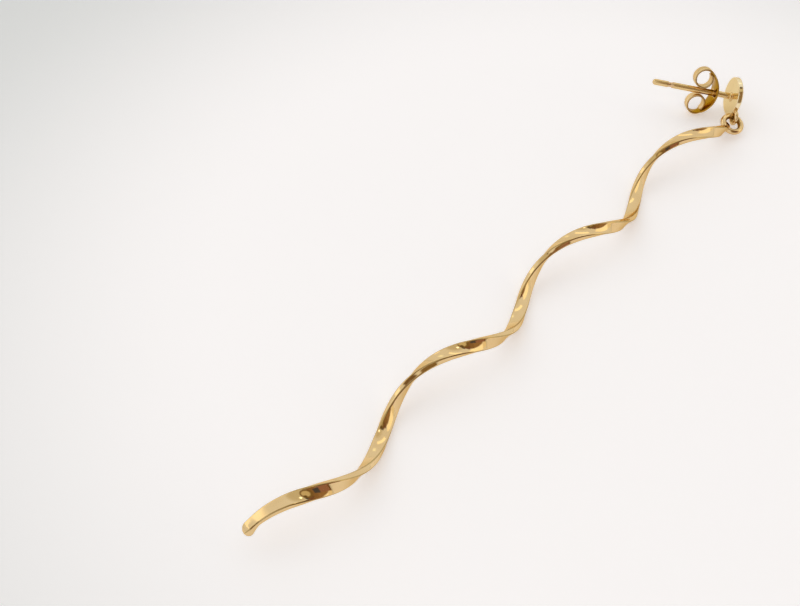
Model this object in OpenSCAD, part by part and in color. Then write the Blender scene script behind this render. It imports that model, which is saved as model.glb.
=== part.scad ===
// Spiral drop earring, lying on its side as it rests on a table.
// Millimetres, +Z up. The drop's axis runs along X, ball end at -X, stud at +X.
// The origin is the middle of the bounding box, at the bottom.

/* [Spiral drop] */
// Length of the twisted strip along the drop's axis
drop_l = 70.2; // [50:0.1:90]
// Axial length of one turn of the strip
pitch = 19.79; // [12:0.01:30]
// Radius of the strip's centre line about the axis
coil_r = 1.475; // [0.8:0.005:4]
// Width of the strip, around the axis
strip_w = 1.38; // [0.8:0.01:2.5]
// Thickness of the strip, along the radius
strip_t = 0.61; // [0.4:0.01:1.5]
// Chamfer on the strip's four edges
strip_edge = 0.07; // [0.02:0.01:0.2]
// Roll of the strip's section about its own centre line
strip_roll = 9; // [-30:1:30]
// Turn of the strip's ball end about the axis, from +Y towards +Z
start_turn = 17; // [0:1:359]
// Diameter of the ball end
ball_d = 1.2; // [1:0.02:2.5]

/* [Drop ring] */
// Outer diameter of the closed ring soldered to the strip's end
ring_d = 2.8; // [1.8:0.05:4]
// Wire diameter of the closed ring
ring_wire = 0.66; // [0.4:0.02:1]
// Ring centre along X from the strip's end, then off the axis in Y and Z
ring_at = [1.02, -1.42, -0.89];
// Lean of the ring's axis away from upright
ring_lean = 18.5; // [0:0.5:90]
// Direction in which the ring's axis leans, from +X towards +Y
ring_turn = -102; // [-180:1:180]

/* [Stud] */
// Diameter of the disc
disc_d = 4.4; // [3:0.1:8]
// Thickness of the disc at its rim
disc_rim = 0.5; // [0.2:0.05:0.8]
// Height of the domed front above the rim
disc_dome = 0.6; // [0.1:0.05:1]
// Length of the ear post from the disc's back
post_l = 9.4; // [8:0.1:12]
// Diameter of the ear post
post_d = 0.7; // [0.6:0.01:1]
// Distance of the friction groove from the post's tip
groove_at = 2.1; // [1:0.1:4]
// Depth of the friction groove
groove_deep = 0.08; // [0.02:0.01:0.15]
// Outer diameter of the small ring soldered to the disc's edge
link_d = 1.8; // [1.4:0.05:3]
// Wire diameter of the small ring
link_wire = 0.46; // [0.3:0.02:0.8]
// Disc centre along X from the strip's end, then off the axis in Y
stud_at = [3.84, 0.74];
// Direction of the post, from +X towards +Y
post_turn = 125.5; // [0:0.5:359]
// Rise of the post towards its tip
post_rise = 7.5; // [0:0.5:45]
// Turn of the disc about the post, which sets where its ring points
disc_turn = 69.5; // [0:0.5:359]
// Lean of the disc from square to the post, towards its ring
disc_lean = 6; // [0:0.5:12]

/* [Butterfly clutch] */
// Distance of the plate from the disc's back
clutch_at = 2; // [0.5:0.1:7]
// Distance from the plate to the centres of the scroll loops
loop_at = 1.75; // [1:0.05:4]
// Outer diameter of each scroll loop
loop_d = 2.3; // [1.8:0.02:3.5]
// Width of the strip at the loops
loop_w = 1.3; // [1:0.1:4]
// Width of the plate at the post hole
plate_w = 2.4; // [1:0.1:5]
// Thickness of the clutch's strip
clutch_t = 0.22; // [0.1:0.01:0.4]
// Turn of the clutch about the post
clutch_turn = 22; // [0:0.5:359]

/* [Hidden] */
$fn = 64;
gold = [0.86, 0.68, 0.36];
slices = 210;
// Overlap that stands for a soldered joint
solder = 0.1;
// Radius of the groove's own hollow profile, which makes it about 0.6 wide
groove_r = 0.57;
// Radial clearance of the clutch on the post
fit = 0.04;
// Height of the drop's axis, with the strip's lowest edge on the table
out_t = strip_t / 2 * cos(strip_roll) + (strip_w / 2 - strip_edge) * sin(strip_roll);
out_w = (strip_w / 2 - strip_edge) * cos(strip_roll) - strip_t / 2 * sin(strip_roll);
axis_z = norm([coil_r + out_t, out_w]);
disc_r = disc_d / 2;
// Rise of the disc's own axis, as a sine, and the height that rests its rim on the table
disc_up = cos(disc_lean) * sin(post_rise) - sin(disc_lean) * cos(disc_turn) * cos(post_rise);
disc_z = disc_r * sqrt(1 - disc_up * disc_up) + disc_rim * disc_up;
dome_r = (disc_r * disc_r + disc_dome * disc_dome) / (2 * disc_dome);
loop_r = loop_d / 2;
mid_r = loop_r - clutch_t / 2;
loop_off = post_d / 2 + fit + loop_r;
// The plate is an arc that leaves the post square and runs smoothly into both loops
bow_r = (loop_at * loop_at + loop_off * loop_off - mid_r * mid_r) / (2 * (loop_at - mid_r));
bow_end = atan2(loop_off, bow_r - loop_at);
bow_x = bow_r * (1 - cos(bow_end));
bow_z = bow_r * sin(bow_end);
waist = (plate_w - loop_w) / 2;
side_r = (bow_z * bow_z + waist * waist) / (2 * waist);
// The bounding box's middle, from the ball end's side
mid_x = 37.715;
mid_y = 2.814;

module strip_section() {
  a = strip_t / 2;
  b = strip_w / 2;
  e = strip_edge;
  polygon([[a - e, -b], [a, e - b], [a, b - e], [a - e, b],
           [e - a, b], [-a, b - e], [-a, e - b], [e - a, -b]]);
}

module wire_ring(outer, wire) {
  rotate_extrude()
    translate([(outer - wire) / 2, 0]) circle(d = wire, $fn = 24);
}

// Moves the drop's axis from X = Y = 0 at the table to its place in the box
module laid() {
  translate([-mid_x, -mid_y, 0]) children();
}

module spiral_drop() {
  color(gold) laid() translate([0, 0, axis_z]) {
    rotate([90, 0, 90])
      linear_extrude(height = drop_l, twist = -360 * drop_l / pitch,
                     slices = slices, segments = 8)
        rotate(start_turn) translate([coil_r, 0]) rotate(strip_roll) strip_section();
    rotate([start_turn, 0, 0]) translate([0, coil_r - 0.15, 0]) sphere(d = ball_d);
    translate([drop_l + ring_at[0], ring_at[1], ring_at[2]])
      rotate([0, ring_lean, ring_turn]) wire_ring(ring_d, ring_wire);
  }
}

// The stud's own frame has the post along +X, from the disc's back at X = 0
module stud_place(turn) {
  laid() translate([drop_l + stud_at[0], stud_at[1], disc_z])
    rotate([0, -post_rise, post_turn]) rotate([turn, 0, 0]) children();
}

module post() {
  rotate([0, 90, 0]) difference() {
    union() {
      cylinder(d = post_d, h = post_l - post_d / 2);
      translate([0, 0, post_l - post_d / 2]) sphere(d = post_d);
    }
    translate([0, 0, post_l - groove_at]) rotate_extrude()
      translate([post_d / 2 + groove_r - groove_deep, 0]) circle(r = groove_r);
  }
}

module disc() {
  rotate([0, -90, 0]) intersection() {
    cylinder(r = disc_r, h = disc_rim + disc_dome);
    translate([0, 0, disc_rim + disc_dome - dome_r]) sphere(r = dome_r, $fn = 200);
  }
}

module ear_stud() {
  color(gold) stud_place(disc_turn) {
    post();
    rotate([0, disc_lean, 0]) {
      disc();
      translate([-link_wire / 2, 0, solder - disc_r - (link_d - link_wire) / 2])
        rotate([0, 90, 0]) wire_ring(link_d, link_wire);
    }
  }
}

module scroll_loop() {
  translate([loop_at, 0, loop_off]) rotate([90, 0, 0]) difference() {
    cylinder(r = loop_r, h = loop_w, center = true);
    cylinder(r = loop_r - clutch_t, h = loop_w + 1, center = true);
    // Slit where the strip's rolled end stops short of its arm
    rotate(-128) translate([0, -0.09, -loop_w]) cube([loop_d, 0.18, 2 * loop_w]);
  }
}

module bowed_plate() {
  intersection() {
    translate([bow_r, 0, 0]) rotate([90, 0, 0]) difference() {
      cylinder(r = bow_r + clutch_t / 2, h = plate_w + 1, center = true);
      cylinder(r = bow_r - clutch_t / 2, h = plate_w + 2, center = true);
    }
    translate([-clutch_t, -plate_w, -bow_r]) cube([clutch_t + bow_x, 2 * plate_w, 2 * bow_r]);
    long_side(1);
    long_side(-1);
  }
}

// Rounds one long side of the plate
module long_side(way) {
  translate([-1, way * (side_r - plate_w / 2), 0]) rotate([0, 90, 0])
    cylinder(r = side_r, h = bow_x + 2);
}

module butterfly_clutch() {
  color(gold) stud_place(clutch_turn) translate([clutch_at, 0, 0]) difference() {
    union() {
      bowed_plate();
      scroll_loop();
      mirror([0, 0, 1]) scroll_loop();
    }
    rotate([0, 90, 0]) cylinder(r = post_d / 2 + fit, h = 1.5, center = true);
  }
}

spiral_drop();
ear_stud();
butterfly_clutch();
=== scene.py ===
import math

import bpy
import bmesh
from mathutils import Matrix, Vector


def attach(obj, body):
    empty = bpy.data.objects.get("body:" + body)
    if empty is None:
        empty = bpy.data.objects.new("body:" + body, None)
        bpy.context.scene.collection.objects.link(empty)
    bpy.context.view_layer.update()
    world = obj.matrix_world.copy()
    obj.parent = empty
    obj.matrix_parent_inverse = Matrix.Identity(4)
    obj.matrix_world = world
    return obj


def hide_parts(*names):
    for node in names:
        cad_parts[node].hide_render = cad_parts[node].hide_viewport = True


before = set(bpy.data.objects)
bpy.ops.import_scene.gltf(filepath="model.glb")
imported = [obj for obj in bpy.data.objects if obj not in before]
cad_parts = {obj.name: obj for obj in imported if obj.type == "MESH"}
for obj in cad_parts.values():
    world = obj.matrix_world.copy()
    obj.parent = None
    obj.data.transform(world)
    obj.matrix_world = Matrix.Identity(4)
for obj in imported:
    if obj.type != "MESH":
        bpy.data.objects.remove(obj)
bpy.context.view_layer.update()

# Sizes are in millimetres, and MM turns them into metres
MM = 0.001

# The twisted strip winds about an axis along X
AXIS_Y = -2.814
AXIS_Z = 1.9565
DROP_L = 70.2
STRIP_FROM = -37.715
STRIP_TO = STRIP_FROM + DROP_L
PITCH = 19.79
COIL_R = 1.475
STRIP_W = 1.37
STRIP_T = 0.6
STRIP_ROLL = math.radians(9)
START_TURN = math.radians(17)
TIP_X = -38.3
# Share of the strip's stations that the rounded tip takes
TIP_SHARE = 0.02

# Drop ring: its centre, its wire and the way its axis points
RING_AT = Vector((STRIP_TO + 1.02, AXIS_Y - 1.42, AXIS_Z - 0.89))
RING_R = 1.07
RING_WIRE_R = 0.329
RING_AXIS = Vector((-0.066, -0.310, 0.948)).normalized()

# The stud's frame has the post along local X, from the disc's back
STUD_AT = Vector((STRIP_TO + 3.84, AXIS_Y + 0.74, 2.2371))
POST_TURN = math.radians(125.5)
POST_RISE = math.radians(7.5)
DISC_TURN = math.radians(69.5)
DISC_LEAN = math.radians(6)

# Disc: radius, thickness at the rim, the domed front's height and radius, rounding of the rim's edges
DISC_R = 2.2
DISC_RIM = 0.5
DISC_DOME = 0.6
DOME_R = 4.333
BACK_EDGE_R = 0.08
FRONT_EDGE_R = 0.1

# Ear post: the fillet at its foot, the groove's middle, and half the groove's length
POST_R = 0.35
POST_L = 9.395
FOOT_R = 0.25
GROOVE_X = 7.3
GROOVE_HALF = 0.29
GROOVE_R = 0.57
GROOVE_DEEP = 0.08

# Link ring, soldered to the disc's edge
LINK_R = 0.67
LINK_WIRE_R = 0.23
SOLDER = 0.1

# Clutch: the plate is a bow that runs smoothly into a rolled loop at each end, and angles are in degrees
CLUTCH_TURN = math.radians(22)
CLUTCH_AT = 2
BOW_R = 3.065
BOW_END = 49.5
LOOP_X = 1.75
LOOP_Z = 1.54
LOOP_R = 1.04
LOOP_END = 402
# Where the roll starts to tighten, over how many degrees it does so, and by how much
ROLL_FROM = 275
ROLL_OVER = 120
ROLL_IN = 0.21
CLUTCH_T = 0.22
CLUTCH_EDGE_R = 0.07
LOOP_W = 1.3
# Half of what the plate is wider than the loops, and half of the plate's length
PLATE_FLARE = 0.75
PLATE_HALF = 2.34
POST_HOLE_R = 0.39


def stud_frame(turn):
    """The stud's frame, turned about the post."""
    return (
        Matrix.Translation(STUD_AT)
        @ Matrix.Rotation(POST_TURN, 4, "Z")
        @ Matrix.Rotation(-POST_RISE, 4, "Y")
        @ Matrix.Rotation(turn, 4, "X")
    )


# Meshes

# Points nearer than this, in millimetres, are one point
SEAM = 0.0004
# Radius at an axis, which the merging turns into a pole
POLE = 0.0005


def finish_mesh(mesh, place, material):
    """Puts a mesh drawn in millimetres in its place and closes its seams."""
    bm = bmesh.new()
    bm.from_mesh(mesh)
    bmesh.ops.remove_doubles(bm, verts=bm.verts, dist=SEAM)
    bmesh.ops.recalc_face_normals(bm, faces=bm.faces)
    bmesh.ops.transform(bm, matrix=Matrix.Scale(MM, 4) @ place, verts=bm.verts)
    for face in bm.faces:
        face.smooth = True
        face.material_index = 0
    bm.to_mesh(mesh)
    bm.free()
    mesh.materials.clear()
    mesh.materials.append(material)
    mesh.update()


def new_piece(name, mesh, body, *nodes):
    obj = bpy.data.objects.new(name, mesh)
    bpy.context.scene.collection.objects.link(obj)
    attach(obj, body)
    if nodes:
        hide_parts(*nodes)
    return obj


def lofted(name, rings, edge=None, recess_shade=None, closed=False):
    """A mesh through rings of points. Open lofts get a flat cap at each end."""
    points = [p for ring in rings for p in ring]
    around = len(rings[0])
    count = len(rings)
    faces = []
    for i in range(count if closed else count - 1):
        a, b = i * around, ((i + 1) % count) * around
        for j in range(around):
            k = (j + 1) % around
            faces.append((a + j, a + k, b + k, b + j))
    if not closed:
        faces.append(tuple(reversed(range(around))))
        faces.append(tuple(range((count - 1) * around, count * around)))
    mesh = bpy.data.meshes.new(name)
    mesh.from_pydata(points, [], faces)
    # Point shares for the painted edge tone and the painted recess shade
    for mask, values in (("edge", edge), ("recess_shade", recess_shade)):
        layer = mesh.attributes.new(mask, "FLOAT", "POINT")
        if values:
            layer.data.foreach_set("value", values)
    return mesh


def lathed(name, outline, around=96):
    """Turns an outline of (along, radius, edge) about local X."""
    rings, edge = [], []
    for x, r, e in outline:
        ring = []
        for j in range(around):
            a = 2 * math.pi * j / around
            ring.append(Vector((x, r * math.cos(a), r * math.sin(a))))
        rings.append(ring)
        edge += [e] * around
    return lofted(name, rings, edge)


def ring_of_wire(name, ring_r, wire_r, around=128, section=28):
    """A closed ring of round wire with its axis along local X."""
    rings, recess_shade = [], []
    for i in range(around):
        a = 2 * math.pi * i / around
        out = Vector((0, math.cos(a), math.sin(a)))
        ring = []
        for j in range(section):
            b = 2 * math.pi * j / section
            ring.append(out * (ring_r + wire_r * math.cos(b)) + Vector((wire_r * math.sin(b), 0, 0)))
            # The ring's inner side gets painted shade, as in a recess
            recess_shade.append(min(max(-1.3 * math.cos(b), 0.0), 1.0))
        rings.append(ring)
    return lofted(name, rings, recess_shade=recess_shade, closed=True)


def arc(cx, cy, r, a0, a1, steps):
    """Points on an arc, angles in degrees."""
    points = []
    for i in range(steps + 1):
        a = math.radians(a0 + (a1 - a0) * i / steps)
        points.append((cx + r * math.cos(a), cy + r * math.sin(a)))
    return points


# Gold

# Depth of the polishing marks, in millimetres, and the tint that gold keeps at a grazing look
MARK_DEPTH = 0.03
GRAZING_TINT = (0.86, 0.72, 0.48, 1)


def add_socket(tree, name, way, kind, value=None):
    """A named input or output of a node group."""
    item = tree.interface.new_socket(name=name, in_out=way, socket_type=kind)
    if value is not None:
        item.default_value = value


def polish_group():
    """Fine polishing marks, a faint film, a painted edge tone (a highlight where paler, shade where darker)
    and painted shade in recesses, for every gold piece.
    """
    tree = bpy.data.node_groups.new("Gold polish", "ShaderNodeTree")
    add_socket(tree, "Place", "INPUT", "NodeSocketVector")
    add_socket(tree, "Edge", "INPUT", "NodeSocketFloat", 0.0)
    add_socket(tree, "Recess Shade", "INPUT", "NodeSocketFloat", 0.0)
    add_socket(tree, "Gold", "INPUT", "NodeSocketColor", (0.9, 0.66, 0.34, 1))
    add_socket(tree, "Film", "INPUT", "NodeSocketColor", (0.82, 0.55, 0.27, 1))
    add_socket(tree, "Painted Edge Shading", "INPUT", "NodeSocketColor", (0.97, 0.79, 0.5, 1))
    add_socket(tree, "Painted Recess Shade", "INPUT", "NodeSocketColor", (0.45, 0.28, 0.09, 1))
    add_socket(tree, "Polish", "INPUT", "NodeSocketFloat", 0.1)
    add_socket(tree, "Color", "OUTPUT", "NodeSocketColor")
    add_socket(tree, "Roughness", "OUTPUT", "NodeSocketFloat")
    add_socket(tree, "Height", "OUTPUT", "NodeSocketFloat")
    nodes, links = tree.nodes, tree.links
    inp = nodes.new("NodeGroupInput")
    out = nodes.new("NodeGroupOutput")

    film = nodes.new("ShaderNodeTexNoise")
    film.inputs["Scale"].default_value = 420
    film.inputs["Detail"].default_value = 3
    links.new(inp.outputs["Place"], film.inputs["Vector"])
    film_range = nodes.new("ShaderNodeMapRange")
    film_range.inputs["From Min"].default_value = 0.35
    film_range.inputs["From Max"].default_value = 0.7
    links.new(film.outputs["Fac"], film_range.inputs["Value"])

    stretch = nodes.new("ShaderNodeMapping")
    stretch.inputs["Scale"].default_value = (0.2, 1.0, 1.0)
    links.new(inp.outputs["Place"], stretch.inputs["Vector"])
    marks = nodes.new("ShaderNodeTexNoise")
    marks.inputs["Scale"].default_value = 16000
    marks.inputs["Detail"].default_value = 2
    links.new(stretch.outputs["Vector"], marks.inputs["Vector"])

    waves = nodes.new("ShaderNodeTexNoise")
    waves.inputs["Scale"].default_value = 700
    waves.inputs["Detail"].default_value = 1
    links.new(inp.outputs["Place"], waves.inputs["Vector"])

    tone = nodes.new("ShaderNodeMix")
    tone.data_type = "RGBA"
    links.new(film_range.outputs["Result"], tone.inputs[0])
    links.new(inp.outputs["Gold"], tone.inputs[6])
    links.new(inp.outputs["Film"], tone.inputs[7])
    # The edge share paints each gold's edge tone: a painted highlight where that tone is paler, painted
    # shade where it is darker
    edge_tone = nodes.new("ShaderNodeMix")
    edge_tone.data_type = "RGBA"
    links.new(inp.outputs["Edge"], edge_tone.inputs[0])
    links.new(tone.outputs[2], edge_tone.inputs[6])
    links.new(inp.outputs["Painted Edge Shading"], edge_tone.inputs[7])
    # The recess share paints shade into hollows
    shaded_mix = nodes.new("ShaderNodeMix")
    shaded_mix.data_type = "RGBA"
    links.new(inp.outputs["Recess Shade"], shaded_mix.inputs[0])
    links.new(edge_tone.outputs[2], shaded_mix.inputs[6])
    links.new(inp.outputs["Painted Recess Shade"], shaded_mix.inputs[7])
    links.new(shaded_mix.outputs[2], out.inputs["Color"])

    rough_film = nodes.new("ShaderNodeMath")
    rough_film.operation = "MULTIPLY_ADD"
    links.new(film_range.outputs["Result"], rough_film.inputs[0])
    rough_film.inputs[1].default_value = 0.05
    links.new(inp.outputs["Polish"], rough_film.inputs[2])
    rough_marks = nodes.new("ShaderNodeMath")
    rough_marks.operation = "MULTIPLY_ADD"
    links.new(marks.outputs["Fac"], rough_marks.inputs[0])
    rough_marks.inputs[1].default_value = 0.05
    links.new(rough_film.outputs[0], rough_marks.inputs[2])
    links.new(rough_marks.outputs[0], out.inputs["Roughness"])

    height = nodes.new("ShaderNodeMath")
    height.operation = "MULTIPLY_ADD"
    links.new(marks.outputs["Fac"], height.inputs[0])
    height.inputs[1].default_value = 0.04
    links.new(waves.outputs["Fac"], height.inputs[2])
    links.new(height.outputs[0], out.inputs["Height"])
    return tree


def gold(name, polish, tone, film, edge_shading, shade_tone):
    """A gold of its own tone and film, with its painted edge tone, its painted recess shade and the shared
    polish.
    """
    mat = bpy.data.materials.new(name)
    mat.use_nodes = True
    nodes, links = mat.node_tree.nodes, mat.node_tree.links
    shader = nodes["Principled BSDF"]
    shader.inputs["Metallic"].default_value = 1.0
    shader.inputs["Specular Tint"].default_value = GRAZING_TINT
    place = nodes.new("ShaderNodeTexCoord")
    # Shares of the painted edge tone and of the painted recess shade
    edge = nodes.new("ShaderNodeAttribute")
    edge.attribute_name = "edge"
    recess_shade = nodes.new("ShaderNodeAttribute")
    recess_shade.attribute_name = "recess_shade"
    group = nodes.new("ShaderNodeGroup")
    group.node_tree = POLISH
    group.inputs["Gold"].default_value = (*tone, 1)
    group.inputs["Film"].default_value = (*film, 1)
    group.inputs["Painted Edge Shading"].default_value = (*edge_shading, 1)
    group.inputs["Painted Recess Shade"].default_value = (*shade_tone, 1)
    group.inputs["Polish"].default_value = polish
    links.new(place.outputs["Object"], group.inputs["Place"])
    links.new(edge.outputs["Fac"], group.inputs["Edge"])
    links.new(recess_shade.outputs["Fac"], group.inputs["Recess Shade"])
    bump = nodes.new("ShaderNodeBump")
    bump.inputs["Strength"].default_value = 0.25
    bump.inputs["Distance"].default_value = MARK_DEPTH * MM
    links.new(group.outputs["Height"], bump.inputs["Height"])
    links.new(group.outputs["Color"], shader.inputs["Base Color"])
    links.new(group.outputs["Roughness"], shader.inputs["Roughness"])
    links.new(bump.outputs["Normal"], shader.inputs["Normal"])
    return mat


POLISH = polish_group()
# Painted light in the golds: the edge tone is a painted dark reflection on the strip's ridges, a painted
# highlight on the disc's rim, and painted shade in the post's groove and on the clutch's sheet sides; the
# recess tone is painted shade on the rings' inner sides and the clutch's hollow side.
strip_gold = gold(
    "Strip gold",
    polish=0.04,
    tone=(0.82, 0.60, 0.31),
    film=(0.77, 0.54, 0.26),
    edge_shading=(0.46, 0.32, 0.12),
    shade_tone=(0.45, 0.29, 0.1),
)
ring_gold = gold(
    "Ring gold",
    polish=0.1,
    tone=(0.84, 0.62, 0.33),
    film=(0.72, 0.50, 0.24),
    edge_shading=(0.93, 0.74, 0.44),
    shade_tone=(0.45, 0.3, 0.1),
)
disc_gold = gold(
    "Disc gold",
    polish=0.1,
    tone=(0.88, 0.73, 0.43),
    film=(0.83, 0.66, 0.37),
    edge_shading=(0.93, 0.78, 0.5),
    shade_tone=(0.6, 0.42, 0.18),
)
post_gold = gold(
    "Post gold",
    polish=0.1,
    tone=(0.85, 0.64, 0.33),
    film=(0.74, 0.53, 0.25),
    edge_shading=(0.7, 0.46, 0.3),
    shade_tone=(0.6, 0.42, 0.18),
)
clutch_gold = gold(
    "Clutch gold",
    polish=0.12,
    tone=(0.86, 0.66, 0.38),
    film=(0.76, 0.55, 0.28),
    edge_shading=(0.55, 0.38, 0.17),
    shade_tone=(0.4, 0.2, 0.01),
)


# Arithmetic in node trees


def number(tree, operation, a, b=None, c=None, clamp=False):
    """One step of arithmetic in a node tree. Returns its output."""
    node = tree.nodes.new("ShaderNodeMath")
    node.operation = operation
    node.use_clamp = clamp
    for socket, value in zip(node.inputs, (a, b, c)):
        if value is None:
            continue
        if isinstance(value, (int, float)):
            socket.default_value = value
        else:
            tree.links.new(value, socket)
    return node.outputs[0]


def blended(tree, share, a, b):
    """a where share is 0, b where share is 1."""
    return number(tree, "MULTIPLY_ADD", share, number(tree, "SUBTRACT", b, a), a)


def eased(tree, value, start, end):
    """0 up to start, 1 from end on, and smooth between."""
    node = tree.nodes.new("ShaderNodeMapRange")
    node.interpolation_type = "SMOOTHSTEP"
    for socket, v in (("Value", value), ("From Min", start), ("From Max", end)):
        if isinstance(v, (int, float)):
            node.inputs[socket].default_value = v
        else:
            tree.links.new(v, node.inputs[socket])
    return node.outputs["Result"]


# Twisted strip

STRIP_INPUTS = (
    ("Start X", STRIP_FROM * MM),
    ("End X", (STRIP_TO + 1.0) * MM),
    ("Tip X", TIP_X * MM),
    ("Pitch", PITCH * MM),
    ("Coil Radius", COIL_R * MM),
    ("Strip Width", STRIP_W * MM),
    ("Strip Thickness", STRIP_T * MM),
    ("Section Roll", STRIP_ROLL),
    ("Start Turn", START_TURN),
    ("Tip Roll", math.radians(54)),
    ("Tip Reach", 3.2 * MM),
    ("Tip Width", 0.85 * MM),
    ("Tip Thickness", 0.46 * MM),
    ("Taper Lead", 0.8 * MM),
    ("Taper Length", 4.0 * MM),
    ("Axis Y", AXIS_Y * MM),
    ("Axis Z", AXIS_Z * MM),
    ("Ball Radius", 0.5 * MM),
    ("Ball Offset", 1.4 * MM),
    ("Ball Bulge", 0.05 * MM),
    ("Ball Roundness", 0.2),
    ("Ball Length", 0.2 * MM),
    ("Ball Fade", 1.4 * MM),
    ("Edge Radius", 0.15 * MM),
    ("Ring End Width", 1.6 * MM),
    ("Ring End Slant", 0.7 * MM),
    ("Ring End Length", 2.2 * MM),
    ("Ring End Roundness", 0.6),
    ("Slant Length", 3.0 * MM),
)


def strip_tree():
    """Sweeps the strip's section along its axis, then rolls and winds each section by where it lies."""
    tree = bpy.data.node_groups.new("Twisted strip", "GeometryNodeTree")
    for name, value in STRIP_INPUTS:
        add_socket(tree, name, "INPUT", "NodeSocketFloat", value)
    add_socket(tree, "Stations", "INPUT", "NodeSocketInt", 760)
    add_socket(tree, "Section Points", "INPUT", "NodeSocketInt", 96)
    add_socket(tree, "Material", "INPUT", "NodeSocketMaterial")
    add_socket(tree, "Geometry", "OUTPUT", "NodeSocketGeometry")
    nodes, links = tree.nodes, tree.links
    inp = nodes.new("NodeGroupInput")
    out = nodes.new("NodeGroupOutput")
    v = inp.outputs

    line = nodes.new("GeometryNodeCurvePrimitiveLine")
    line.inputs["End"].default_value = (1, 0, 0)
    stations = nodes.new("GeometryNodeResampleCurve")
    links.new(line.outputs["Curve"], stations.inputs["Curve"])
    links.new(v["Stations"], stations.inputs["Count"])
    along = nodes.new("GeometryNodeSplineParameter")
    keep_along = nodes.new("GeometryNodeCaptureAttribute")
    keep_along.capture_items.new("FLOAT", "Along")
    links.new(stations.outputs["Curve"], keep_along.inputs["Geometry"])
    links.new(along.outputs["Factor"], keep_along.inputs["Along"])

    box = nodes.new("GeometryNodeCurvePrimitiveQuadrilateral")
    links.new(v["Strip Thickness"], box.inputs["Width"])
    links.new(v["Strip Width"], box.inputs["Height"])
    fillet = nodes.new("GeometryNodeFilletCurve")
    fillet.mode = "POLY"
    fillet.inputs["Count"].default_value = 8
    links.new(box.outputs["Curve"], fillet.inputs["Curve"])
    links.new(v["Edge Radius"], fillet.inputs["Radius"])
    section_points = nodes.new("GeometryNodeResampleCurve")
    links.new(fillet.outputs["Curve"], section_points.inputs["Curve"])
    links.new(v["Section Points"], section_points.inputs["Count"])
    drawn = nodes.new("GeometryNodeInputPosition")
    keep_drawn = nodes.new("GeometryNodeCaptureAttribute")
    keep_drawn.capture_items.new("VECTOR", "Drawn")
    links.new(section_points.outputs["Curve"], keep_drawn.inputs["Geometry"])
    links.new(drawn.outputs["Position"], keep_drawn.inputs["Drawn"])

    sweep = nodes.new("GeometryNodeCurveToMesh")
    sweep.inputs["Fill Caps"].default_value = True
    links.new(keep_along.outputs["Geometry"], sweep.inputs["Curve"])
    links.new(keep_drawn.outputs["Geometry"], sweep.inputs["Profile Curve"])

    # Distance along the axis: the first stations crowd into the rounded tip
    share = keep_along.outputs["Along"]
    tip_share = number(tree, "DIVIDE", share, TIP_SHARE, clamp=True)
    quarter = number(tree, "MULTIPLY", tip_share, math.pi / 2)
    tip_len = number(tree, "SUBTRACT", v["Start X"], v["Tip X"])
    rounding = number(tree, "SUBTRACT", 1.0, number(tree, "COSINE", quarter))
    in_tip = number(tree, "MULTIPLY", tip_len, rounding)
    past = number(tree, "MAXIMUM", number(tree, "SUBTRACT", share, TIP_SHARE), 0.0)
    past = number(tree, "DIVIDE", past, 1 - TIP_SHARE)
    beyond = number(tree, "MULTIPLY", past, number(tree, "SUBTRACT", v["End X"], v["Start X"]))
    x = number(tree, "ADD", number(tree, "ADD", v["Tip X"], in_tip), beyond)
    closing = number(tree, "SINE", quarter)

    # How much the section is no longer ball, and how much it already is ring
    ball_end = number(tree, "ADD", v["Tip X"], v["Ball Length"])
    strip_share = eased(tree, x, ball_end, number(tree, "ADD", v["Tip X"], v["Ball Fade"]))
    reach = number(tree, "DIVIDE", number(tree, "SUBTRACT", x, v["Start X"]), v["Tip Reach"])
    tip_fade = number(tree, "SUBTRACT", 1.0, reach, clamp=True)
    taper_start = number(tree, "SUBTRACT", v["Start X"], v["Taper Lead"])
    full = eased(tree, x, taper_start, number(tree, "ADD", v["Start X"], v["Taper Length"]))
    ring_share = eased(tree, x, number(tree, "SUBTRACT", v["End X"], v["Ring End Length"]), v["End X"])
    half_t = number(tree, "MULTIPLY", v["Strip Thickness"], 0.5)
    half_w = number(tree, "MULTIPLY", v["Strip Width"], 0.5)
    half_t = blended(tree, full, number(tree, "MULTIPLY", v["Tip Thickness"], 0.5), half_t)
    half_w = blended(tree, full, number(tree, "MULTIPLY", v["Tip Width"], 0.5), half_w)
    half_t = blended(tree, strip_share, v["Ball Radius"], half_t)
    half_w = blended(tree, strip_share, v["Ball Radius"], half_w)
    ring_w = number(tree, "MULTIPLY", v["Ring End Width"], 0.5)
    half_w = blended(tree, ring_share, half_w, ring_w)
    half_t = number(tree, "MULTIPLY", half_t, closing)
    half_w = number(tree, "MULTIPLY", half_w, closing)
    off = blended(tree, strip_share, v["Ball Offset"], v["Coil Radius"])

    # The drawn section as shares of its half sizes, pulled towards a circle at the ball and the ring
    parts = nodes.new("ShaderNodeSeparateXYZ")
    links.new(keep_drawn.outputs["Drawn"], parts.inputs["Vector"])
    u = number(tree, "DIVIDE", number(tree, "MULTIPLY", parts.outputs["X"], 2.0), v["Strip Thickness"])
    w = number(tree, "DIVIDE", number(tree, "MULTIPLY", parts.outputs["Y"], 2.0), v["Strip Width"])
    far = number(tree, "SQRT", number(tree, "MULTIPLY_ADD", u, u, number(tree, "MULTIPLY", w, w)))
    round_share = number(tree, "MULTIPLY", number(tree, "SUBTRACT", 1.0, strip_share), v["Ball Roundness"])
    ring_round = number(tree, "MULTIPLY", ring_share, v["Ring End Roundness"])
    round_share = number(tree, "MAXIMUM", round_share, ring_round)
    pull = blended(tree, round_share, 1.0, number(tree, "DIVIDE", 1.0, far))
    radial_share = number(tree, "MULTIPLY", u, pull)
    across_share = number(tree, "MULTIPLY", w, pull)
    radial = number(tree, "MULTIPLY", radial_share, half_t)
    across = number(tree, "MULTIPLY", across_share, half_w)
    bulge = number(tree, "MULTIPLY", v["Ball Bulge"], number(tree, "SUBTRACT", 1.0, strip_share))
    across = number(tree, "ADD", across, bulge)

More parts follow.
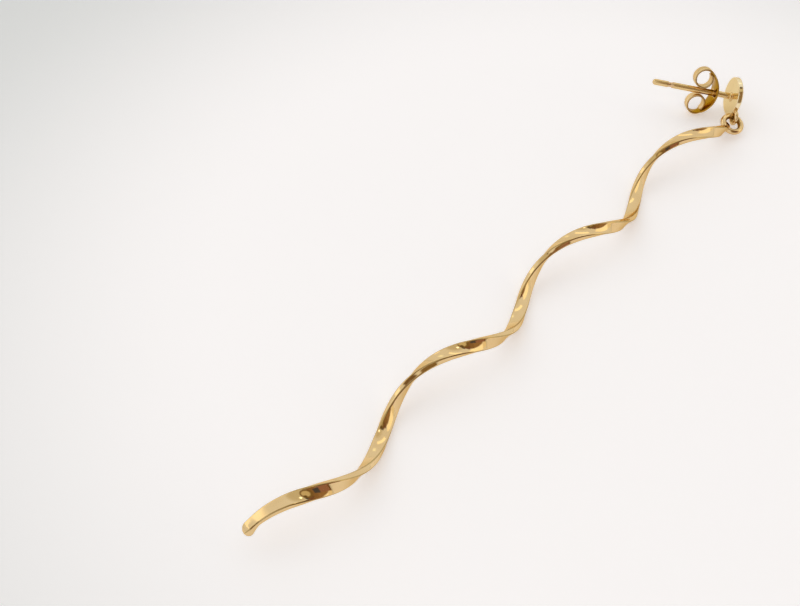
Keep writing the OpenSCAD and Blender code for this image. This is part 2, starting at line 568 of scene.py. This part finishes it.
    section = nodes.new("ShaderNodeCombineXYZ")
    links.new(radial, section.inputs["Y"])
    links.new(across, section.inputs["Z"])
    rolled = nodes.new("ShaderNodeVectorRotate")
    rolled.rotation_type = "X_AXIS"
    links.new(section.outputs["Vector"], rolled.inputs["Vector"])
    roll = number(tree, "MULTIPLY_ADD", tip_fade, v["Tip Roll"], v["Section Roll"])
    links.new(roll, rolled.inputs["Angle"])
    outward = nodes.new("ShaderNodeCombineXYZ")
    links.new(off, outward.inputs["Y"])
    shifted = nodes.new("ShaderNodeVectorMath")
    links.new(rolled.outputs["Vector"], shifted.inputs[0])
    links.new(outward.outputs["Vector"], shifted.inputs[1])
    wound = nodes.new("ShaderNodeVectorRotate")
    wound.rotation_type = "X_AXIS"
    links.new(shifted.outputs["Vector"], wound.inputs["Vector"])
    from_start = number(tree, "DIVIDE", number(tree, "SUBTRACT", x, v["Start X"]), v["Pitch"])
    angle = number(tree, "MULTIPLY_ADD", from_start, 2 * math.pi, v["Start Turn"])
    links.new(angle, wound.inputs["Angle"])
    slant = eased(tree, x, number(tree, "SUBTRACT", v["End X"], v["Slant Length"]), v["End X"])
    slant = number(tree, "MULTIPLY", number(tree, "MULTIPLY", slant, v["Ring End Slant"]), across_share)
    axis = nodes.new("ShaderNodeCombineXYZ")
    links.new(number(tree, "ADD", x, slant), axis.inputs["X"])
    links.new(v["Axis Y"], axis.inputs["Y"])
    links.new(v["Axis Z"], axis.inputs["Z"])
    placed = nodes.new("ShaderNodeVectorMath")
    links.new(wound.outputs["Vector"], placed.inputs[0])
    links.new(axis.outputs["Vector"], placed.inputs[1])

    # 1 on the strip's four edges, where the strip gold's dark edge tone paints dark reflections along the
    # ridges
    corner = number(
        tree,
        "MULTIPLY",
        eased(tree, number(tree, "ABSOLUTE", u), 0.6, 0.85),
        eased(tree, number(tree, "ABSOLUTE", w), 0.8, 0.93),
    )
    mark = nodes.new("GeometryNodeStoreNamedAttribute")
    mark.data_type = "FLOAT"
    mark.domain = "POINT"
    mark.inputs["Name"].default_value = "edge"
    links.new(sweep.outputs["Mesh"], mark.inputs["Geometry"])
    links.new(corner, mark.inputs["Value"])

    move = nodes.new("GeometryNodeSetPosition")
    links.new(mark.outputs["Geometry"], move.inputs["Geometry"])
    links.new(placed.outputs["Vector"], move.inputs["Position"])
    realize = nodes.new("GeometryNodeRealizeInstances")
    links.new(move.outputs["Geometry"], realize.inputs["Geometry"])
    paint = nodes.new("GeometryNodeSetMaterial")
    links.new(realize.outputs["Geometry"], paint.inputs["Geometry"])
    links.new(v["Material"], paint.inputs["Material"])
    links.new(paint.outputs["Geometry"], out.inputs["Geometry"])
    return tree


def twisted_strip():
    tree = strip_tree()
    obj = bpy.data.objects.new("twisted_strip", bpy.data.meshes.new("twisted_strip"))
    bpy.context.scene.collection.objects.link(obj)
    modifier = obj.modifiers.new("Twisted strip", "NODES")
    modifier.node_group = tree
    for item in tree.interface.items_tree:
        if item.in_out == "INPUT" and item.name == "Material":
            modifier[item.identifier] = strip_gold
    graph = bpy.context.evaluated_depsgraph_get()
    graph.update()
    mesh = bpy.data.meshes.new_from_object(obj.evaluated_get(graph))
    obj.modifiers.clear()
    obj.data = mesh
    mesh.name = "twisted_strip"
    bm = bmesh.new()
    bm.from_mesh(mesh)
    bmesh.ops.remove_doubles(bm, verts=bm.verts, dist=SEAM * MM)
    bmesh.ops.recalc_face_normals(bm, faces=bm.faces)
    for face in bm.faces:
        face.smooth = True
    bm.to_mesh(mesh)
    bm.free()
    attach(obj, "earring")
    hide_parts("spiral_drop")
    return obj


# Rings, disc and post


def drop_ring():
    mesh = ring_of_wire("drop_ring", RING_R, RING_WIRE_R)
    place = Matrix.Translation(RING_AT) @ RING_AXIS.to_track_quat("X", "Y").to_matrix().to_4x4()
    finish_mesh(mesh, place, ring_gold)
    return new_piece("drop_ring", mesh, "earring")


def disc_frame():
    """The disc's own frame, which leans from square to the post."""
    return stud_frame(DISC_TURN) @ Matrix.Rotation(DISC_LEAN, 4, "Y")


def disc():
    front = DISC_RIM + DISC_DOME
    outline = [(0.0, POLE, 0)]
    outline += [(0.0, r, 0) for r in (0.5, 1.0, 1.5, 1.9, 2.05)]
    # The rounded edges and the side of the rim carry the edge share, a painted highlight from the disc
    # gold's paler edge tone
    back_edge = arc(-BACK_EDGE_R, DISC_R - BACK_EDGE_R, BACK_EDGE_R, 0, 90, 6)
    outline += [(x, r, 1) for x, r in back_edge]
    outline += [(-0.42, DISC_R, 0.6)]
    front_edge = arc(-0.43, DISC_R - FRONT_EDGE_R, FRONT_EDGE_R, 90, 165, 5)
    outline += [(x, r, 1) for x, r in front_edge]
    for i in range(1, 24):
        r = 2.06 * (1 - i / 24)
        outline.append((DOME_R - front - math.sqrt(DOME_R**2 - r * r), r, 0))
    outline.append((-front, POLE, 0))
    mesh = lathed("stud_disc", outline, 128)
    finish_mesh(mesh, disc_frame(), disc_gold)
    return new_piece("stud_disc", mesh, "earring", "ear_stud")


def post():
    outline = [(-0.1, POLE, 0), (-0.1, POST_R + FOOT_R, 0)]
    for i in range(9):
        rise = math.sin(math.radians(90 * i / 8))
        outline.append((FOOT_R * rise - 0.02, POST_R + FOOT_R * (1 - rise) ** 2, 0))
    outline += [(x, POST_R, 0) for x in (0.6, 2.0, 4.0, 6.0, 6.9)]
    # The groove carries half the edge share, painted shade from the post gold's darker edge tone
    for i in range(13):
        along = GROOVE_HALF * (i / 6 - 1)
        r = POST_R + GROOVE_R - GROOVE_DEEP - math.sqrt(GROOVE_R**2 - along**2)
        outline.append((GROOVE_X + along, r, 0.5))
    outline += [(7.7, POST_R, 0), (8.4, POST_R, 0)]
    tip = arc(POST_L - POST_R, 0, POST_R, 90, 0, 12)
    outline += [(x, max(r, POLE), 0) for x, r in tip]
    mesh = lathed("ear_post", outline, 48)
    finish_mesh(mesh, stud_frame(DISC_TURN), post_gold)
    return new_piece("ear_post", mesh, "earring")


def link_ring():
    mesh = ring_of_wire("link_ring", LINK_R, LINK_WIRE_R)
    beside = Matrix.Translation((-LINK_WIRE_R, 0, SOLDER - DISC_R - LINK_R))
    finish_mesh(mesh, disc_frame() @ beside, ring_gold)
    return new_piece("link_ring", mesh, "earring")


# Clutch

# Stations along half of the plate, and along each roll
PLATE_STEPS = 24
ROLL_STEPS = 96


def clutch_path():
    """Centre line (x, z), from one rolled end to the other."""
    half = []
    for i in range(PLATE_STEPS + 1):
        a = math.radians(BOW_END * i / PLATE_STEPS)
        half.append((BOW_R - BOW_R * math.cos(a), BOW_R * math.sin(a)))
    for i in range(1, ROLL_STEPS + 1):
        deg = BOW_END + (LOOP_END - BOW_END) * i / ROLL_STEPS
        s = min(max((deg - ROLL_FROM) / ROLL_OVER, 0), 1)
        r = LOOP_R - ROLL_IN * s * s * (3 - 2 * s)
        a = math.radians(deg)
        half.append((LOOP_X - r * math.cos(a), LOOP_Z + r * math.sin(a)))
    mirrored = [(x, -z) for x, z in reversed(half[1:])]
    return mirrored + half


def clutch_mesh():
    """The clutch's strip, bowed and rolled, in its own frame and without the post hole."""
    path = clutch_path()
    count = len(path)
    middle = count // 2
    t = CLUTCH_T / 2
    r = CLUTCH_EDGE_R
    rings, edge, recess_shade = [], [], []
    for i, (x, z) in enumerate(path):
        before = path[max(i - 1, 0)]
        after = path[min(i + 1, count - 1)]
        way = Vector((after[0] - before[0], 0, after[1] - before[1])).normalized()
        up = Vector((-way.z, 0, way.x))
        w = LOOP_W / 2
        if abs(i - middle) <= PLATE_STEPS:
            w += PLATE_FLARE * math.sqrt(1 - (z / PLATE_HALF) ** 2)
        # The rolled ends narrow over their last stations
        end = min(i, count - 1 - i)
        if end < 4:
            w *= (0.72, 0.88, 0.95, 0.99)[end]
        # The hollow side gets painted shade, full on the plate and its arms, and faint in the loops
        hollow = min(max((58 - abs(i - middle)) / 20, 0.12), 1.0)
        ring = []
        for cy, cz, a0 in ((w - r, t - r, 0), (r - w, t - r, 90), (r - w, r - t, 180), (w - r, r - t, 270)):
            for y, h in arc(cy, cz, r, a0, a0 + 90, 3):
                ring.append(Vector((x, y, z)) + up * h)
                # The sheet's sides get the clutch gold's dark edge tone, a painted shade
                edge.append(1.0 if abs(h) < 0.9 * t else 0.0)
                recess_shade.append(hollow if h < 0 else 0.0)
        rings.append(ring)
    return lofted("butterfly_clutch", rings, edge, recess_shade)


def with_post_hole(mesh):
    """A copy of the clutch's mesh with the hole for the post cut through the plate."""
    obj = bpy.data.objects.new("clutch_draft", mesh)
    bpy.context.scene.collection.objects.link(obj)
    hole = bpy.data.meshes.new("hole")
    along_post = Matrix.Rotation(math.radians(90), 4, "Y")
    bm = bmesh.new()
    bmesh.ops.create_cone(
        bm,
        cap_ends=True,
        segments=64,
        radius1=POST_HOLE_R,
        radius2=POST_HOLE_R,
        depth=0.8,
        matrix=along_post,
    )
    bm.to_mesh(hole)
    bm.free()
    cutter = bpy.data.objects.new("hole", hole)
    bpy.context.scene.collection.objects.link(cutter)
    cut = obj.modifiers.new("Post hole", "BOOLEAN")
    cut.operation = "DIFFERENCE"
    cut.solver = "EXACT"
    cut.object = cutter
    graph = bpy.context.evaluated_depsgraph_get()
    graph.update()
    made = bpy.data.meshes.new_from_object(obj.evaluated_get(graph))
    bpy.data.objects.remove(obj)
    bpy.data.objects.remove(cutter)
    made.name = "scroll_clutch"
    return made


def clutch():
    mesh = with_post_hole(clutch_mesh())
    place = stud_frame(CLUTCH_TURN) @ Matrix.Translation((CLUTCH_AT, 0, 0))
    finish_mesh(mesh, place, clutch_gold)
    return new_piece("scroll_clutch", mesh, "clutch", "butterfly_clutch")


twisted_strip()
drop_ring()
disc()
post()
link_ring()
clutch()


# Table, light and camera


def lit(tree, share, under, tone):
    """The colour under, or tone where share is 1."""
    mix = tree.nodes.new("ShaderNodeMix")
    mix.data_type = "RGBA"
    tree.links.new(share, mix.inputs[0])
    if isinstance(under, tuple):
        mix.inputs[6].default_value = (*under, 1)
    else:
        tree.links.new(under, mix.inputs[6])
    mix.inputs[7].default_value = (*tone, 1)
    return mix.outputs[2]


# The middle of the table's painted pool of light, where its painted shade starts to darken the table, and
# where that shade is full
LIT_AT = (5 * MM, -5 * MM, 0)
LIT_R = 36 * MM
SHADE_R = 90 * MM
TABLE_HALF = 1.5


def table():
    mesh = bpy.data.meshes.new("table_top")
    corners = [(x * TABLE_HALF, y * TABLE_HALF, 0) for x, y in ((-1, -1), (1, -1), (1, 1), (-1, 1))]
    mesh.from_pydata(corners, [], [(0, 1, 2, 3)])
    obj = bpy.data.objects.new("table_top", mesh)
    bpy.context.scene.collection.objects.link(obj)
    mat = bpy.data.materials.new("Table white")
    mat.use_nodes = True
    tree = mat.node_tree
    shader = tree.nodes["Principled BSDF"]
    place = tree.nodes.new("ShaderNodeTexCoord")
    away = tree.nodes.new("ShaderNodeVectorMath")
    away.operation = "DISTANCE"
    away.inputs[1].default_value = LIT_AT
    tree.links.new(place.outputs["Object"], away.inputs[0])
    # Painted shade: the table's colour and glow turn grey away from the pool of light
    shade = eased(tree, away.outputs["Value"], LIT_R, SHADE_R)
    white = lit(tree, shade, (0.91, 0.905, 0.945), (0.64, 0.665, 0.685))
    # The table glows though it is no lamp, painted light that lifts the shadows on it
    painted_glow = lit(tree, shade, (1.0, 1.01, 1.05), (0.66, 0.69, 0.71))
    tree.links.new(white, shader.inputs["Base Color"])
    tree.links.new(painted_glow, shader.inputs["Emission Color"])
    shader.inputs["Roughness"].default_value = 0.6
    shader.inputs["Emission Strength"].default_value = 0.255
    mesh.materials.append(mat)


def panel(tree, az, el, at, width, height, soft, lean=0.0):
    """How much of a direction falls on a flat panel of the tent. Degrees, azimuth from +X to +Y."""
    shift = number(tree, "SUBTRACT", el, at[1])
    aside = number(tree, "SUBTRACT", az, number(tree, "MULTIPLY_ADD", shift, lean, at[0]))
    aside = number(tree, "ABSOLUTE", number(tree, "WRAP", aside, 180.0, -180.0))
    above = number(tree, "ABSOLUTE", shift)
    past = eased(tree, aside, width / 2 - soft / 2, width / 2 + soft / 2)
    over = eased(tree, above, height / 2 - soft / 2, height / 2 + soft / 2)
    within = number(tree, "SUBTRACT", 1.0, past)
    return number(tree, "MULTIPLY", within, number(tree, "SUBTRACT", 1.0, over))


def round_patch(tree, look, at, radius, soft):
    """How much of a direction falls inside a round patch."""
    a, e = math.radians(at[0]), math.radians(at[1])
    dot = tree.nodes.new("ShaderNodeVectorMath")
    dot.operation = "DOT_PRODUCT"
    tree.links.new(look, dot.inputs[0])
    dot.inputs[1].default_value = (math.cos(e) * math.cos(a), math.cos(e) * math.sin(a), math.sin(e))
    inner = math.cos(math.radians(radius - soft / 2))
    outer = math.cos(math.radians(radius + soft / 2))
    return eased(tree, dot.outputs["Value"], outer, inner)


# The tent's cloth, and its dimmer ceiling
CLOTH = (0.86, 0.86, 0.86)
CEILING = (0.66, 0.62, 0.5)
# The tent's bright panels, then its dark opening: azimuth and elevation, width, height, softness,
# lean, light. Degrees, and a lean is degrees of azimuth for each degree of elevation.
PANELS = (
    ((103, 38), 46, 17, 5, 0, (1.4, 1.35, 1.2)),
    ((61, 28), 9, 10, 5, 0, (1.2, 1.25, 1.1)),
    ((26, 50), 48, 8, 3, 0, (1.45, 1.4, 1.15)),
    ((-69, 5), 20, 16, 4, 0.81, (0.95, 0.84, 0.62)),
    ((-48, 29), 20, 34, 4, 0.81, (1.34, 1.24, 0.98)),
    ((-177, 63), 92, 13, 5, 0, (0.2, 0.12, 0.05)),
    ((-114, 17), 27, 56, 5, 0, (0.27, 0.18, 0.08)),
    ((-66, 36), 24, 50, 3, 0.81, (0.34, 0.2, 0.09)),
    ((-89, 20), 24, 44, 2.5, 0, (0.33, 0.17, 0.12)),
    ((-89, 1.5), 24, 5, 1.5, 0, (0.16, 0.08, 0.02)),
    ((-81, 49), 60, 22, 3, 0, (0.28, 0.16, 0.07)),
    ((-88, 38), 22, 16, 2, 0, (0.08, 0.075, 0.09)),
    ((-50, 57), 24, 16, 4, 0, (0.2, 0.1, 0.06)),
    ((-35, 65), 12, 9, 3, 0, (0.09, 0.075, 0.07)),
)
# Round patches over the panels: azimuth and elevation, radius, softness, light. The last is the lamp.
PATCHES = (
    ((-80, 66), 16, 3, (0.22, 0.14, 0.05)),
    ((-80, 68), 10.5, 3, (0.66, 0.57, 0.36)),
    ((-50, 70), 5, 2, (0.16, 0.11, 0.04)),
    ((-14, 77), 3, 1, (2.6, 2.5, 2.3)),
)


def light():
    """A white light tent round the table, with a dark opening and one small lamp."""
    world = bpy.data.worlds.new("Light tent")
    world.use_nodes = True
    tree = world.node_tree
    tent = tree.nodes["Background"]
    look = tree.nodes.new("ShaderNodeTexCoord").outputs["Generated"]
    parts = tree.nodes.new("ShaderNodeSeparateXYZ")
    tree.links.new(look, parts.inputs["Vector"])
    around = number(tree, "ARCTAN2", parts.outputs["Y"], parts.outputs["X"])
    az = number(tree, "MULTIPLY", around, 180 / math.pi)
    el = number(tree, "MULTIPLY", number(tree, "ARCSINE", parts.outputs["Z"]), 180 / math.pi)
    colour = lit(tree, round_patch(tree, look, (0, 90), 22, 16), CLOTH, CEILING)
    for at, width, height, soft, lean, tone in PANELS:
        colour = lit(tree, panel(tree, az, el, at, width, height, soft, lean), colour, tone)
    for at, radius, soft, tone in PATCHES:
        colour = lit(tree, round_patch(tree, look, at, radius, soft), colour, tone)
    tree.links.new(colour, tent.inputs["Color"])
    tent.inputs["Strength"].default_value = 1.0
    bpy.context.scene.world = world


# The camera that fits the photo
CAMERA_AT = Vector((-51.775, -31.05, 70.13))
CAMERA_LOOKS = Vector((0.4529, 0.4211, -0.7859))
LENS = 40.5


def camera():
    data = bpy.data.cameras.new("photo camera")
    data.lens = LENS
    data.sensor_width = 36
    data.sensor_fit = "HORIZONTAL"
    data.clip_start = 0.002
    data.clip_end = 10
    obj = bpy.data.objects.new("photo camera", data)
    obj.location = CAMERA_AT * MM
    obj.rotation_mode = "QUATERNION"
    obj.rotation_quaternion = CAMERA_LOOKS.to_track_quat("-Z", "Y")
    bpy.context.scene.collection.objects.link(obj)
    bpy.context.scene.camera = obj


table()
light()
camera()
bpy.context.scene.view_settings.view_transform = "Standard"
